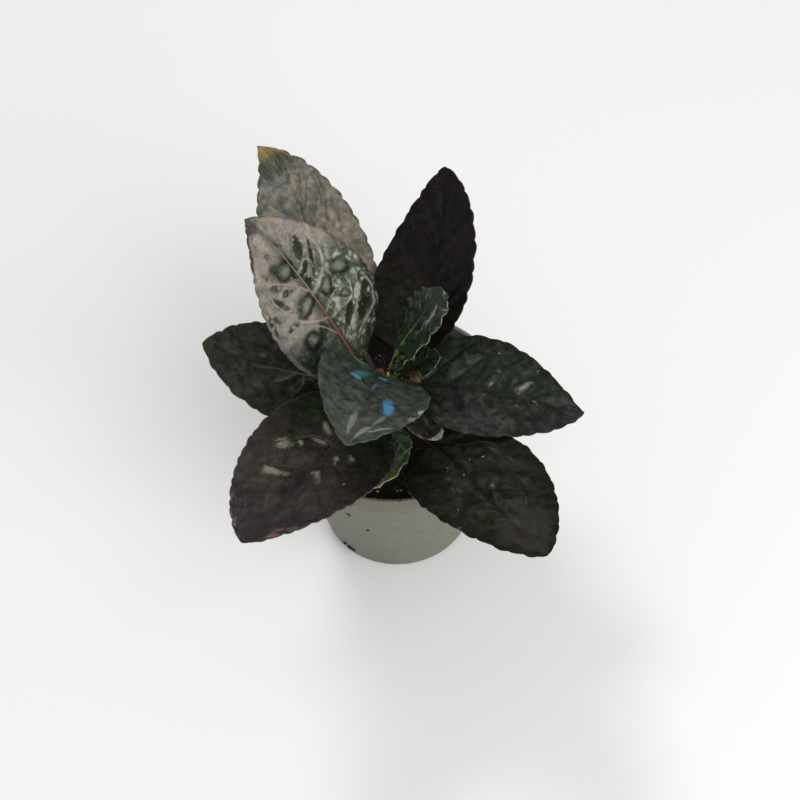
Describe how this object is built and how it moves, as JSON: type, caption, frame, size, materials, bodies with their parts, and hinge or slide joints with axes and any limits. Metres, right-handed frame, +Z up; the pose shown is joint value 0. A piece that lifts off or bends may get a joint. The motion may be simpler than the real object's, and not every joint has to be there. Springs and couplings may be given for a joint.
{
  "type": "potted hemigraphis plant",
  "caption": "Small potted foliage plant: puckered dark leaves with scalloped edges on a short stem, rooted in soil in a tapered nursery pot with a rim band and drain holes.",
  "frame": {"origin": "centre of the pot's flat underside, where it rests", "axes": "+Z up along the pot's axis; -Y is the side the picture looks from, +X is to its right"},
  "size_m": [0.0923, 0.1288, 0.1034],
  "materials": {
    "pot_plastic": "matt grey-green moulded plastic with specks of soil",
    "soil": "matt, moist peat crumb with a few pale specks",
    "stem": "satin maroon bark",
    "leaf_grey": "satin grey-olive leaf with a silvery sheen",
    "leaf_purple": "glossy purple-brown leaf",
    "leaf_green": "glossy dark green leaf with a grey cast",
    "leaf_young": "glossy young green leaf with a pale margin"
  },
  "bodies": {
    "root": {"pot": "pot_plastic", "soil": "soil", "stem": "stem", "bud": "stem", "leaf_back_left": "leaf_grey", "leaf_upper_left": "leaf_grey", "leaf_back_right": "leaf_purple", "leaf_left": "leaf_green", "leaf_lower_left": "leaf_purple", "leaf_front": "leaf_green", "leaf_right": "leaf_green", "leaf_lower_right": "leaf_purple", "leaf_young_centre": "leaf_young", "leaf_low_small": "leaf_young", "leaf_young_folded": "leaf_young", "leaf_young_right": "leaf_young"}
  },
  "joints": []
}
